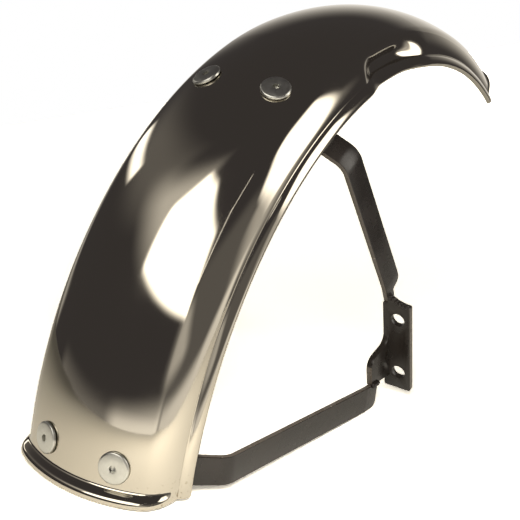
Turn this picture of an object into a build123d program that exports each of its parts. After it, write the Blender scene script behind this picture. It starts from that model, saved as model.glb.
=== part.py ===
from build123d import *
import math
import os

# A motorcycle front mudguard: a polished sheet-metal blade on a welded flat-bar bracket.
# It stands on its rear lip and on the forward ends of the lower strap.
# X runs across the wheel, +Y is forward and +Z is up. Sizes are in millimetres and degrees.
# While it is built, the wheel axle is at the origin, and an angle on the blade is measured
# up from the rearward horizontal. At the end the part is moved to stand on Z = 0.

# Blade: a domed arch, rolled along both sides
crown_radius = 313.0
sheet = 1.2
wall_half_width = 60.0
dome_depth = 31.8
crown_turn = 25.0
edge_roll_radius = 2.5
edge_flare_angle = 80.0
edge_curl_angle = 110.0
rear_end_angle = 4.79
front_end_angle = 124.3

# Flared and rolled lip at each end of the blade
lip_flare_radius = 9.0
lip_flare_angle = 65.0
lip_roll_radius = 3.0
lip_curl_angle = 95.0
lip_fade_start = 2.0
lip_fade_end = 24.0
end_rake = 9.0
end_rake_length = 60.0

# Pinch pressed into each side for the fork leg
pinch_angle = 76.9
pinch_half_angle = 8.5
pinch_wall_depth = 9.0
pinch_edge_depth = 4.0
pinch_top_drop = 12.5
pinch_full_drop = 22.0

# Straps: flat bar bent into hoops under the blade
strap_width = 20.0
strap_thickness = 4.0
seat_clearance = 0.25
upper_bolt_angle = 59.3
lower_bolt_angle = 9.0
bolt_half_spacing = 28.0
strap_bend_x = 76.0
strap_bend_radius = 14.0
strap_end_bend_radius = 30.0
upper_exit_angle = 32.0
lower_exit_angle = 43.0
lower_leg_slope = 2.1
upper_neck_width = 9.0
upper_neck_length = 15.0
upper_neck_corner = 5.0
upper_straight_length = 12.0
lower_straight_length = 16.0
lower_flange_overlap = 9.0
strap_end_corner = 5.0

# Fork plates: angle section with two fork bolt holes
plate_lean = 17.4
plate_bottom_y = -54.7
plate_bottom_z = 34.6
plate_inner_x = 88.2
plate_width = 22.0
plate_height = 80.0
plate_thickness = 4.5
plate_corner = 1.5
fork_hole_diameter = 11.0
fork_hole_x = 12.0
fork_hole_low = 16.0
fork_hole_pitch = 50.0
flange_depth = 28.0
flange_top = 43.0
flange_root_radius = 8.0
flange_tip_radius = 8.0

# Weld beads between straps and fork plates
weld_bead_radius = 2.2
weld_wedge_height = 6.5
weld_wedge_reach = 16.0
weld_hollow = 0.38

# Disc-head bolts and hexagon nuts
bolt_diameter = 8.0
bolt_hole_diameter = 8.6
head_diameter = 21.0
head_thickness = 3.0
head_chamfer = 0.9
socket_width = 5.0
socket_depth = 2.2
nut_width = 13.0
nut_height = 6.5
nut_seat_gap = 0.35
nut_thread_clearance = 0.1
bolt_end_beyond_nut = 1.5

# How finely the curved sections are stepped
crown_arcs = 2
shoulder_arcs = 2
flare_steps = 2
curl_steps = 3
lip_step = 3.9
end_step_growth = 1.8
plain_step = 28.0
pinch_step = 13.5
strap_curve_steps = 5


def smooth_step(value):
    """Rise smoothly from 0 to 1 as the value goes from 0 to 1."""
    value = min(max(value, 0.0), 1.0)
    return value * value * (3.0 - 2.0 * value)


def outward(angle):
    """Direction away from the axle at a blade angle."""
    turn = math.radians(angle)
    return Vector(0.0, -math.cos(turn), math.sin(turn))


def along(angle):
    """Direction along the blade, towards its front end, at a blade angle."""
    turn = math.radians(angle)
    return Vector(0.0, math.sin(turn), math.cos(turn))


across = Vector(1.0, 0.0, 0.0)


# Cross-section of the blade: crown, shoulder, flare and curl, each a tangent arc

crown_end_turn = math.radians(crown_turn)
flare_end_turn = math.radians(edge_flare_angle)
curl_turn = math.radians(edge_curl_angle)
arc_share = math.sin(crown_end_turn) + math.cos(crown_end_turn) - 1.0
dome_radius = wall_half_width * math.cos(crown_end_turn)
dome_radius -= dome_depth * (1.0 - math.sin(crown_end_turn))
dome_radius /= arc_share
shoulder_radius = dome_depth * math.sin(crown_end_turn)
shoulder_radius -= wall_half_width * (1.0 - math.cos(crown_end_turn))
shoulder_radius /= arc_share
shoulder_centre_x = wall_half_width - shoulder_radius
flare_centre_x = wall_half_width + edge_roll_radius
bead_centre_x = flare_centre_x - 2.0 * edge_roll_radius * math.cos(flare_end_turn)
bead_centre_drop = dome_depth + 2.0 * edge_roll_radius * math.sin(flare_end_turn)


# Stations across the section: each arc takes up one, and the left side's are negative

crown_end = 1.0
shoulder_foot = 2.0
flare_end = 3.0
curl_end = 4.0


def profile(station):
    """Outer section, as the distance across and the drop below the crown, at a station."""
    reach = abs(station)
    if reach <= crown_end:
        turn = reach * crown_end_turn
        x = dome_radius * math.sin(turn)
        drop = dome_radius * (1.0 - math.cos(turn))
    elif reach <= shoulder_foot:
        turn = crown_end_turn + (reach - crown_end) * (math.pi / 2.0 - crown_end_turn)
        x = shoulder_centre_x + shoulder_radius * math.sin(turn)
        drop = dome_depth - shoulder_radius * math.cos(turn)
    elif reach <= flare_end:
        turn = (reach - shoulder_foot) * flare_end_turn
        x = flare_centre_x - edge_roll_radius * math.cos(turn)
        drop = dome_depth + edge_roll_radius * math.sin(turn)
    else:
        turn = flare_end_turn - (reach - flare_end) * curl_turn
        x = bead_centre_x + edge_roll_radius * math.cos(turn)
        drop = bead_centre_drop - edge_roll_radius * math.sin(turn)
    return math.copysign(x, station), drop


def profile_normal(station):
    """Outward normal of the section, as its parts across and in the direction of the drop."""
    step = 0.001
    x_before, drop_before = profile(station - step)
    x_after, drop_after = profile(station + step)
    length = math.hypot(x_after - x_before, drop_after - drop_before)
    return (drop_after - drop_before) / length, (x_before - x_after) / length


bolt_station = math.asin(bolt_half_spacing / dome_radius) / crown_end_turn


# Blade surface along the arch

lip_flare_turn = math.radians(lip_flare_angle)
lip_flare_length = lip_flare_radius * lip_flare_turn
lip_length = lip_flare_length + lip_roll_radius * math.radians(lip_curl_angle)


def lip_point(travel):
    """Run along the arch and rise above it, after a travel over the lip from where it starts."""
    if travel <= lip_flare_length:
        turn = travel / lip_flare_radius
        return lip_flare_radius * math.sin(turn), lip_flare_radius * (1.0 - math.cos(turn))
    turn = lip_flare_turn - (travel - lip_flare_length) / lip_roll_radius
    run = lip_flare_radius * math.sin(lip_flare_turn)
    run += lip_roll_radius * (math.sin(lip_flare_turn) - math.sin(turn))
    rise = lip_flare_radius * (1.0 - math.cos(lip_flare_turn))
    rise += lip_roll_radius * (math.cos(turn) - math.cos(lip_flare_turn))
    return run, rise


lip_run = lip_point(lip_length)[0]
arch_length = crown_radius * math.radians(front_end_angle - rear_end_angle) - 2.0 * lip_run
blade_travel = 2.0 * lip_length + arch_length


def travel_at(angle):
    """Travel over the crown, from the rear edge, at a blade angle clear of the lips."""
    return lip_length - lip_run + crown_radius * math.radians(angle - rear_end_angle)


def crown_place(travel):
    """Blade angle and rise of the lip, after a travel over the crown from the rear edge."""
    if travel < lip_length:
        run, rise = lip_point(lip_length - travel)
        return rear_end_angle + math.degrees((lip_run - run) / crown_radius), rise
    if travel > lip_length + arch_length:
        run, rise = lip_point(travel - lip_length - arch_length)
        return front_end_angle - math.degrees((lip_run - run) / crown_radius), rise
    arc = lip_run + travel - lip_length
    return rear_end_angle + math.degrees(arc / crown_radius), 0.0


def section_rake(angle):
    """Lean of the section plane: near the ends the side edges lie back from the crown."""
    rear_distance = crown_radius * math.radians(angle - rear_end_angle)
    front_distance = crown_radius * math.radians(front_end_angle - angle)
    rear_lean = smooth_step(1.0 - rear_distance / end_rake_length)
    front_lean = smooth_step(1.0 - front_distance / end_rake_length)
    return end_rake * (rear_lean - front_lean)


def pinch_depth(drop, angle):
    """How far the fork pinch pushes the side inwards, at a drop below the crown."""
    offset = (angle - pinch_angle) / pinch_half_angle
    if abs(offset) >= 1.0:
        return 0.0
    start = smooth_step((drop - pinch_top_drop) / (pinch_full_drop - pinch_top_drop))
    fade = smooth_step((drop - pinch_full_drop) / (bead_centre_drop - pinch_full_drop))
    depth = pinch_wall_depth + (pinch_edge_depth - pinch_wall_depth) * fade
    return start * depth * (1.0 - offset ** 2) ** 2


def section_plane(angle):
    """Directions inwards and square to a section plane at a blade angle."""
    rake = math.radians(section_rake(angle))
    inwards = along(angle) * math.sin(rake) - outward(angle) * math.cos(rake)
    square = along(angle) * math.cos(rake) + outward(angle) * math.sin(rake)
    return inwards, square


def blade_point(station, travel):
    """Point of the blade's outer surface."""
    angle, rise = crown_place(travel)
    inwards, square = section_plane(angle)
    x, drop = profile(station)
    normal_x, normal_drop = profile_normal(station)
    rise *= 1.0 - smooth_step((drop - lip_fade_start) / (lip_fade_end - lip_fade_start))
    x += rise * normal_x - math.copysign(pinch_depth(drop, angle), station)
    drop += rise * normal_drop
    return outward(angle) * crown_radius + across * x + inwards * drop


def blade_normal(station, travel, in_section):
    """Outward normal of the blade, held within the section plane where asked."""
    step = 0.002
    over = blade_point(station + step, travel) - blade_point(station - step, travel)
    forward = blade_point(station, travel + step) - blade_point(station, travel - step)
    normal = over.cross(forward).normalized()
    if in_section:
        inwards, square = section_plane(crown_place(travel)[0])
        normal = (normal - square * normal.dot(square)).normalized()
    return normal


def spread(start, end, count):
    """Even steps from start to end."""
    return [start + (end - start) * step / count for step in range(count + 1)]


def arc_run(surface, start, end, count):
    """Arcs through a surface's points between two stations."""
    points = [surface(station) for station in spread(start, end, 2 * count)]
    arcs = zip(points[:-2:2], points[1::2], points[2::2])
    return [Edge.make_three_point_arc(*arc) for arc in arcs]


def line_run(surface, start, end, count):
    """Short straight edges through a surface's points between two stations."""
    points = [surface(station) for station in spread(start, end, count)]
    return [Edge.make_line(first, second) for first, second in zip(points, points[1:])]


def skin_edges(surface):
    """Edges of one face of the sheet across the blade, from the left rolled edge to the right."""

    def flank(side):
        edges = arc_run(surface, side * crown_end, side * shoulder_foot, shoulder_arcs)
        edges += line_run(surface, side * shoulder_foot, side * flare_end, flare_steps)
        return edges + line_run(surface, side * flare_end, side * curl_end, curl_steps)

    crown = arc_run(surface, -crown_end, crown_end, crown_arcs)
    return flank(-1.0)[::-1] + crown + flank(1.0)


def sheet_section(travel):
    """Closed outline of the sheet across the blade."""
    is_end = travel in (0.0, blade_travel)

    def outer(station):
        return blade_point(station, travel)

    def inner(station):
        return outer(station) - blade_normal(station, travel, is_end) * sheet

    right_rim = Edge.make_line(outer(curl_end), inner(curl_end))
    left_rim = Edge.make_line(outer(-curl_end), inner(-curl_end))
    return Wire(skin_edges(outer) + [right_rim] + skin_edges(inner)[::-1] + [left_rim])


def end_travels(end_length):
    """Travels of the sections of a raked end, close together over the lip."""
    travels = spread(0.0, lip_length, math.ceil(lip_length / lip_step))
    growth = math.log(end_length / lip_length)
    for share in spread(0.0, 1.0, math.ceil(growth / math.log(end_step_growth)))[1:]:
        travels.append(lip_length * math.exp(growth * share))
    return travels


def section_travels():
    """Travels of all sections: raked ends, plain spans, the upper strap's seat and the pinch."""
    rake_angle = math.degrees(end_rake_length / crown_radius)
    rear = end_travels(travel_at(rear_end_angle + rake_angle))
    front = [blade_travel - travel for travel in reversed(rear)]
    pinch_start = travel_at(pinch_angle - pinch_half_angle)
    pinch_end = travel_at(pinch_angle + pinch_half_angle)
    seat = travel_at(upper_bolt_angle)
    seat_start = seat - strap_width / 2.0
    seat_end = seat + strap_width / 2.0
    travels = list(rear)
    for end, step in (
        (seat_start, plain_step),
        (seat_end, plain_step),
        (pinch_start, plain_step),
        (pinch_end, pinch_step),
        (front[0], plain_step),
    ):
        travels += spread(travels[-1], end, math.ceil((end - travels[-1]) / step))[1:]
    return travels + front[1:]


def mudguard_blade():
    """The blade: lofted through its sections from end to end and drilled for the bolts."""
    blade = Solid.make_loft([sheet_section(travel) for travel in section_travels()], ruled=True)
    return drill_bolt_holes(blade)


def bolt_planes():
    """Seat planes of the four bolts on the blade, with Z pointing out of the blade."""
    planes = []
    for angle in (lower_bolt_angle, upper_bolt_angle):
        for station in (-bolt_station, bolt_station):
            x, drop = profile(station)
            normal_x, normal_drop = profile_normal(station)
            place = outward(angle) * (crown_radius - drop) + across * x
            normal = across * normal_x - outward(angle) * normal_drop
            planes.append(Plane(place, x_dir=along(angle), z_dir=normal))
    return planes


def drill_bolt_holes(solid):
    """Cut the bolt clearance holes through a piece under the bolt seats."""
    drill = Cylinder(bolt_hole_diameter / 2.0, 4.0 * (sheet + strap_thickness)).solid()
    return solid.cut(*[plane * drill for plane in bolt_planes()]).fix()


# Fork plates

lean_turn = math.radians(plate_lean)
plate_up = Vector(0.0, -math.sin(lean_turn), math.cos(lean_turn))
plate_rear = Vector(0.0, -math.cos(lean_turn), -math.sin(lean_turn))
plate_plane = Plane(
    Vector(plate_inner_x, plate_bottom_y, plate_bottom_z), x_dir=across, z_dir=plate_rear
)
plate_side_plane = Plane(plate_plane.origin, x_dir=plate_rear, z_dir=-across)

# Hoop planes of the straps: the lower legs turn up from the bolt plane to the leg slope

strap_seat_depth = sheet + seat_clearance + strap_thickness / 2.0
wrap_radius = bead_centre_x - (wall_half_width - strap_seat_depth)
fold_drop = bead_centre_drop + wrap_radius
lower_fold = lower_bolt_angle - lower_leg_slope


def hoop_directions(angle, fold, drop):
    """Directions inwards along a hoop and across its bar, before or after the fold."""
    turn = math.radians(fold if drop > fold_drop else 0.0)
    inwards = along(angle) * math.sin(turn) - outward(angle) * math.cos(turn)
    bar_up = along(angle) * math.cos(turn) + outward(angle) * math.sin(turn)
    return inwards, bar_up


def hoop_point(angle, fold, x, drop):
    """Point on the middle surface of a hoop."""
    inwards, bar_up = hoop_directions(angle, fold, drop)
    hinge = outward(angle) * (crown_radius - fold_drop)
    return hinge + inwards * (drop - fold_drop) + across * x


lower_inwards, lower_bar_up = hoop_directions(lower_bolt_angle, lower_fold, 2.0 * fold_drop)
lower_top_start = hoop_point(lower_bolt_angle, lower_fold, 0.0, 2.0 * fold_drop)
lower_top_start += lower_bar_up * (strap_width / 2.0)


def flange_foot(depth):
    """Height up the fork plate at which the lower strap's top edge passes, at a flange depth."""
    offset = lower_top_start - plate_plane.origin
    slope = lower_inwards.dot(plate_up) / lower_inwards.dot(plate_rear)
    return offset.dot(plate_up) + (depth - offset.dot(plate_rear)) * slope


def right_fork_plate():
    """Angle plate: a drilled leg behind the fork and a short flange to the rear."""
    leg = RectangleRounded(plate_width, plate_height, plate_corner)
    leg = Pos(plate_width / 2.0, plate_height / 2.0) * leg
    for step in range(2):
        hole = Circle(fork_hole_diameter / 2.0)
        leg -= Pos(fork_hole_x, fork_hole_low + step * fork_hole_pitch) * hole
    plate = plate_plane * extrude(leg, -plate_thickness)
    root_top = flange_top + 2.0 * flange_root_radius
    rim = FilletPolyline(
        (flange_depth, flange_foot(flange_depth)),
        (flange_depth, flange_top),
        (0.0, flange_top),
        (0.0, root_top),
        radius=(flange_tip_radius, flange_root_radius),
    )
    rest = Polyline(
        (0.0, root_top),
        (-plate_thickness / 2.0, root_top),
        (-plate_thickness / 2.0, flange_foot(0.0)),
        (0.0, flange_foot(0.0)),
        (flange_depth, flange_foot(flange_depth)),
    )
    flange = extrude(make_face([rim, rest]), -plate_thickness)
    return plate + plate_side_plane * flange


# Straps


def half_hoop(exit_angle, ends):
    """Middle line of the right half of a hoop, in distance across and drop.

    It follows the dome inside the blade, goes round the rolled edge and then to the leg's ends.
    """
    crown_centre = (0.0, dome_radius)
    shoulder_centre = (shoulder_centre_x, dome_depth)
    crown = CenterArc(crown_centre, dome_radius - strap_seat_depth, -90.0, crown_turn)
    shoulder_start = crown_turn - 90.0
    shoulder = CenterArc(
        shoulder_centre, shoulder_radius - strap_seat_depth, shoulder_start, -shoulder_start
    )
    wrap = CenterArc((bead_centre_x, bead_centre_drop), wrap_radius, 180.0, exit_angle - 90.0)
    exit_point = wrap @ 1
    bend_drop = exit_point.Y + (strap_bend_x - exit_point.X) * math.tan(math.radians(exit_angle))
    corners = [exit_point, Vector(strap_bend_x, bend_drop)] + ends
    radii = [strap_bend_radius] + [strap_end_bend_radius] * (len(ends) - 1)
    leg = FilletPolyline(*corners, radius=radii)
    return [crown, shoulder, Line(shoulder @ 1, wrap @ 0), wrap] + leg.edges()


def bar_sections(angle, fold, edges, side):
    """Rectangles across the bar along one half of a hoop."""
    sections = []
    for edge in edges:
        count = 1 if edge.geom_type == GeomType.LINE else strap_curve_steps
        for step in range(1, count + 1):
            place = edge @ (step / count)
            heading = edge % (step / count)
            inwards, bar_up = hoop_directions(angle, fold, place.Y)
            centre = hoop_point(angle, fold, side * place.X, place.Y)
            face = (across * (side * heading.Y) - inwards * heading.X) * (strap_thickness / 2.0)
            edge_offset = bar_up * (strap_width / 2.0)
            corners = [
                centre + face + edge_offset,
                centre + face - edge_offset,
                centre - face - edge_offset,
                centre - face + edge_offset,
            ]
            sections.append(Wire.make_polygon(corners))
    return sections


def bent_bar(angle, fold, edges):
    """A flat bar lofted along both halves of its hoop and drilled for its bolts."""
    left = bar_sections(angle, fold, edges, -1.0)
    right = bar_sections(angle, fold, edges, 1.0)
    bar = Solid.make_loft(list(reversed(left)) + right, ruled=True)
    return drill_bolt_holes(bar)


def upper_strap():
    """Upper hoop: its legs narrow to necks that stand on the fork plates."""
    leg_x = plate_inner_x + strap_thickness / 2.0
    forward = along(upper_bolt_angle)
    inwards = -outward(upper_bolt_angle)
    plate_top = Plane(plate_plane.origin + plate_up * plate_height, x_dir=across, z_dir=plate_up)
    rear_edge_start = -inwards * crown_radius - forward * (strap_width / 2.0)
    end_drop = (plate_top.origin - rear_edge_start).dot(plate_up) / inwards.dot(plate_up)
    ends = [
        Vector(leg_x, end_drop - upper_straight_length),
        Vector(leg_x, end_drop + strap_width),
    ]
    bar = bent_bar(upper_bolt_angle, 0.0, half_hoop(upper_exit_angle, ends))
    bar = split(bar, bisect_by=plate_top, keep=Keep.TOP)
    rear_edge_end = rear_edge_start + inwards * end_drop
    notch_plane = Plane(rear_edge_end, x_dir=forward, z_dir=across)
    notch_edge = FilletPolyline(
        (upper_neck_width, -strap_width),
        (upper_neck_width, upper_neck_length),
        (strap_width, upper_neck_length),
        (strap_width, 2.0 * upper_neck_length),
        radius=upper_neck_corner,
    )
    notch_rest = Polyline(
        notch_edge @ 1,
        (2.0 * strap_width, 2.0 * upper_neck_length),
        (2.0 * strap_width, -strap_width),
        notch_edge @ 0,
    )
    notch = make_face([notch_edge, notch_rest])
    return bar - notch_plane * extrude(notch, plate_inner_x + plate_width, both=True)


def lower_strap():
    """Lower hoop: its legs run forward under the flanges of the fork plates."""
    leg_x = plate_inner_x + plate_thickness - strap_thickness / 2.0
    end_place = plate_plane.origin + plate_rear * (flange_depth - lower_flange_overlap)
    end_drop = 2.0 * fold_drop
    end_drop += (end_place - lower_top_start).dot(plate_rear) / lower_inwards.dot(plate_rear)
    ends = [
        Vector(leg_x, end_drop - lower_straight_length),
        Vector(leg_x, end_drop),
    ]
    bar = bent_bar(lower_bolt_angle, lower_fold, half_hoop(lower_exit_angle, ends))
    low_corner = hoop_point(lower_bolt_angle, lower_fold, 0.0, end_drop)
    low_corner -= lower_bar_up * (strap_width / 2.0)
    corner_edges = bar.edges().filter_by(Axis.X).sort_by_distance(low_corner)[:2]
    return fillet(corner_edges, strap_end_corner)


# Welds


def right_welds():
    """Wedge weld on the fork plate's top and a bead along the lower strap's end."""
    foot_x = strap_thickness
    wedge_face = ThreePointArc(
        (foot_x, plate_height + weld_wedge_height),
        (foot_x + weld_wedge_reach * weld_hollow, plate_height + weld_wedge_height * weld_hollow),
        (foot_x + weld_wedge_reach, plate_height),
    )
    wedge_rest = Polyline(wedge_face @ 1, (foot_x, plate_height), wedge_face @ 0)
    wedge = plate_plane * extrude(make_face([wedge_face, wedge_rest]), -plate_thickness)
    bead_x = plate_inner_x + plate_thickness
    bead_end = plate_plane.origin + plate_rear * (flange_depth - lower_flange_overlap / 2.0)
    run = (bead_end - lower_top_start).dot(plate_rear) / lower_inwards.dot(plate_rear)
    centre = lower_top_start + lower_inwards * run + across * bead_x
    bead = Cylinder(weld_bead_radius, lower_flange_overlap)
    bead = chamfer(bead.edges().filter_by(GeomType.CIRCLE), weld_bead_radius / 2.0)
    bead = Plane(centre, x_dir=across, z_dir=lower_inwards) * bead
    outer_face = Plane(centre, x_dir=lower_inwards, z_dir=across)
    return [wedge.solid(), split(bead, bisect_by=outer_face, keep=Keep.TOP).solid()]


# Fasteners, each built on its seat plane with Z pointing out of the blade

nut_top = sheet + seat_clearance + strap_thickness + nut_seat_gap
bolt_length = nut_top + nut_height + bolt_end_beyond_nut


def disc_head_bolt():
    """Bolt with a wide flat head and a hexagon socket."""
    head = extrude(Circle(head_diameter / 2.0), head_thickness)
    head = chamfer(head.edges().sort_by(Axis.Z)[-1], head_chamfer)
    socket = RegularPolygon(socket_width / 2.0, 6, major_radius=False)
    head -= Pos(0.0, 0.0, head_thickness) * extrude(socket, -socket_depth)
    return (head + extrude(Circle(bolt_diameter / 2.0), -bolt_length)).solid()


def hex_nut():
    """Hexagon nut under the strap."""
    hexagon = RegularPolygon(nut_width / 2.0, 6, major_radius=False)
    hexagon -= Circle(bolt_diameter / 2.0 + nut_thread_clearance)
    return (Pos(0.0, 0.0, -nut_top) * extrude(hexagon, -nut_height)).solid()


def at_each_bolt(piece):
    """Four copies of a fastener, one on each bolt seat."""
    return [plane * piece for plane in bolt_planes()]


def mirrored(pieces):
    """The same pieces on the left side."""
    return [mirror(piece, about=Plane.YZ) for piece in pieces]


def assembly():
    """Every piece by name, as a list of its solids, standing on Z = 0 about the origin."""
    right_plate = right_fork_plate().solid()
    welds = right_welds()
    pieces = {
        "mudguard_blade": [mudguard_blade().solid()],
        "upper_strap": [upper_strap().solid()],
        "lower_strap": [lower_strap().solid()],
        "right_fork_plate": [right_plate],
        "left_fork_plate": mirrored([right_plate]),
        "bracket_welds": welds + mirrored(welds),
        "disc_head_bolts": at_each_bolt(disc_head_bolt()),
        "hex_nuts": at_each_bolt(hex_nut()),
    }
    solids = [solid for group in pieces.values() for solid in group]
    box = Compound(solids).bounding_box()
    stand = Pos(0.0, -(box.min.Y + box.max.Y) / 2.0, -box.min.Z)
    return {name: [stand * solid for solid in group] for name, group in pieces.items()}


if __name__ == "__main__":
    os.makedirs("parts", exist_ok=True)
    for name, solids in assembly().items():
        piece = solids[0] if len(solids) == 1 else Compound(solids)
        piece.label = name
        export_step(piece, f"parts/{name}.step")
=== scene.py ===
import logging
import math
from dataclasses import dataclass, field
from enum import Enum
from typing import Any, Callable, Sequence

import bmesh
import bpy
from bmesh.types import BMEdge, BMesh, BMVert
from bpy.types import Material, NodeSocket, NodeTree, Object
from mathutils import Matrix, Vector


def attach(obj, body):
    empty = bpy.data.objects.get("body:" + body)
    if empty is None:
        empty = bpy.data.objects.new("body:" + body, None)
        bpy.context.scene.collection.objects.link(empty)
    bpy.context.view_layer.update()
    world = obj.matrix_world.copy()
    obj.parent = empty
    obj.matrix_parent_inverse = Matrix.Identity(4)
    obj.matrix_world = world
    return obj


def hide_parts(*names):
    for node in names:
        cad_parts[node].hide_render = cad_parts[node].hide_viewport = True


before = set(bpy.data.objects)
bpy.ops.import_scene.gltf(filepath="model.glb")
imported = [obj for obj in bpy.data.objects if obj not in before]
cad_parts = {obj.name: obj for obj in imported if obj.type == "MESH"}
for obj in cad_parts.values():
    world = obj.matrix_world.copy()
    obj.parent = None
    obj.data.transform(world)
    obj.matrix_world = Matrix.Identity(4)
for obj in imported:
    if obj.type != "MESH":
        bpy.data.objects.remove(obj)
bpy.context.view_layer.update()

LOG = logging.getLogger("mudguard")

# The meshes are made in millimetres about the wheel axle, with +Y forward, and then brought
# into the shared frame, where the axle lies here (in metres).
AXLE = Vector((0.0, 0.0687888, -0.0256526))
METRES = 0.001
ACROSS = Vector((1.0, 0.0, 0.0))
FORWARD = Vector((0.0, 1.0, 0.0))

# Merging distances in millimetres, and angles of the bolts and the fork plates in degrees.
WELD_DISTANCE = 0.001
CAD_WELD_DISTANCE = 0.01
UPPER_BOLTS = 59.3
LOWER_BOLTS = 9.0
PLATE_LEAN = 17.4

Pair = tuple[float, float]
Triple = tuple[float, float, float]


class Side(Enum):
    """Side of the wheel, as seen by the rider."""

    LEFT = -1.0
    RIGHT = 1.0


class Slot(Enum):
    """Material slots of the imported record."""

    BLADE = "blade_metal"
    BRACKET = "bracket_paint"
    FASTENER = "fastener_metal"


def smooth_step(value: float) -> float:
    """Rise smoothly from 0 to 1 as the value goes from 0 to 1."""
    value = min(max(value, 0.0), 1.0)
    return value * value * (3.0 - 2.0 * value)


def linear(hex_colour: str) -> tuple[float, float, float, float]:
    """Turn an sRGB hex colour into a linear colour.

    Args:
        hex_colour: Six hex digits, with or without a leading hash.

    Returns:
        Linear red, green, blue and an alpha of 1.
    """
    digits = hex_colour.lstrip("#")
    channels = [int(digits[place:place + 2], 16) / 255.0 for place in (0, 2, 4)]
    red, green, blue = [
        value / 12.92 if value <= 0.04045 else ((value + 0.055) / 1.055) ** 2.4
        for value in channels
    ]
    return (red, green, blue, 1.0)


def outward(angle: float) -> Vector:
    """Direction away from the axle at a blade angle in degrees, up from the rear."""
    turn = math.radians(angle)
    return Vector((0.0, -math.cos(turn), math.sin(turn)))


def along(angle: float) -> Vector:
    """Direction along the blade, towards its front end, at a blade angle in degrees."""
    turn = math.radians(angle)
    return Vector((0.0, math.sin(turn), math.cos(turn)))


def add_node(
    tree: NodeTree,
    kind: str,
    inputs: dict[str | int, Any] | None = None,
    output: str | int = 0,
    **settings: Any,
) -> NodeSocket:
    """Add a shader node, set it up and link it.

    Args:
        tree: Node tree that gets the node.
        kind: Type name of the node, without its ShaderNode prefix.
        inputs: Values or output sockets for its inputs, by name or place.
        output: Name or place of the output that is wanted.
        settings: Values of the node's own properties.

    Returns:
        That output of the new node.
    """
    node = tree.nodes.new(f"ShaderNode{kind}")
    for name, value in settings.items():
        setattr(node, name, value)
    for name, value in (inputs or {}).items():
        if isinstance(value, NodeSocket):
            tree.links.new(value, node.inputs[name])
        else:
            node.inputs[name].default_value = value
    return node.outputs[output]


def pattern_scale(size_mm: float) -> float:
    """Texture scale, on coordinates in metres, of a pattern whose grains have a size."""
    return 1.0 / (size_mm * METRES)


@dataclass
class Patterns:
    """What a finish is made of: its noise grains, and what goes to the shader's inputs."""

    tree: NodeTree
    place: NodeSocket
    grains: list[NodeSocket] = field(default_factory=list)
    looks: dict[str, NodeSocket] = field(default_factory=dict)


@dataclass(frozen=True)
class Finish:
    """Surface finish, with noise patterns that tint it and vary its gloss.

    Each grain is the size of a pattern in millimetres, its detail, and how far it is drawn out
    along the blade. The first one varies the gloss. The relief is the strength and the height, in
    metres, of what stands out from the surface.
    """

    name: str
    colour: str
    metallic: float
    roughness: float
    grains: tuple[Triple, ...]
    gloss: Pair
    tones: tuple[str, str]
    gloss_span: Pair = (0.3, 0.7)
    tone_span: Pair = (0.3, 0.7)
    tone_grain: int = 0
    relief: Pair = (0.0, 0.0)

    def material(self) -> Material:
        """Make the material, with its patterns.

        Returns:
            The material, ready to be put in a slot.
        """
        material = bpy.data.materials.new(self.name)
        material.use_nodes = True
        tree = material.node_tree
        shader = tree.nodes["Principled BSDF"]
        shader.inputs["Base Color"].default_value = linear(self.colour)
        shader.inputs["Metallic"].default_value = self.metallic
        shader.inputs["Roughness"].default_value = self.roughness
        patterns = Patterns(tree, add_node(tree, "TexCoord", output="Object"))
        for size, detail, stretch in self.grains:
            squeeze = (1.0, 1.0 / stretch, 1.0 / stretch)
            drawn = add_node(tree, "Mapping", {"Vector": patterns.place, "Scale": squeeze})
            inputs = {"Vector": drawn, "Scale": pattern_scale(size), "Detail": detail}
            patterns.grains.append(add_node(tree, "TexNoise", inputs))
        tint = add_node(tree, "ValToRGB", {0: patterns.grains[self.tone_grain]})
        for stop, position, tone in zip(tint.node.color_ramp.elements, self.tone_span, self.tones):
            stop.position = position
            stop.color = linear(tone)
        spans = dict(enumerate((patterns.grains[0], *self.gloss_span, *self.gloss)))
        looks = patterns.looks
        looks.update({"Base Color": tint, "Roughness": add_node(tree, "MapRange", spans)})
        self.dress(patterns)
        if "Height" in looks:
            strength, height = self.relief
            inputs = {"Strength": strength, "Distance": height, "Height": looks.pop("Height")}
            looks["Normal"] = add_node(tree, "Bump", inputs)
        for name, pattern in looks.items():
            tree.links.new(pattern, shader.inputs[name])
        return material

    def dress(self, patterns: Patterns) -> None:
        """Add what only this finish has, which for a plain one is nothing.

        Args:
            patterns: The patterns so far, whose looks may be changed or given a height.
        """


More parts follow.
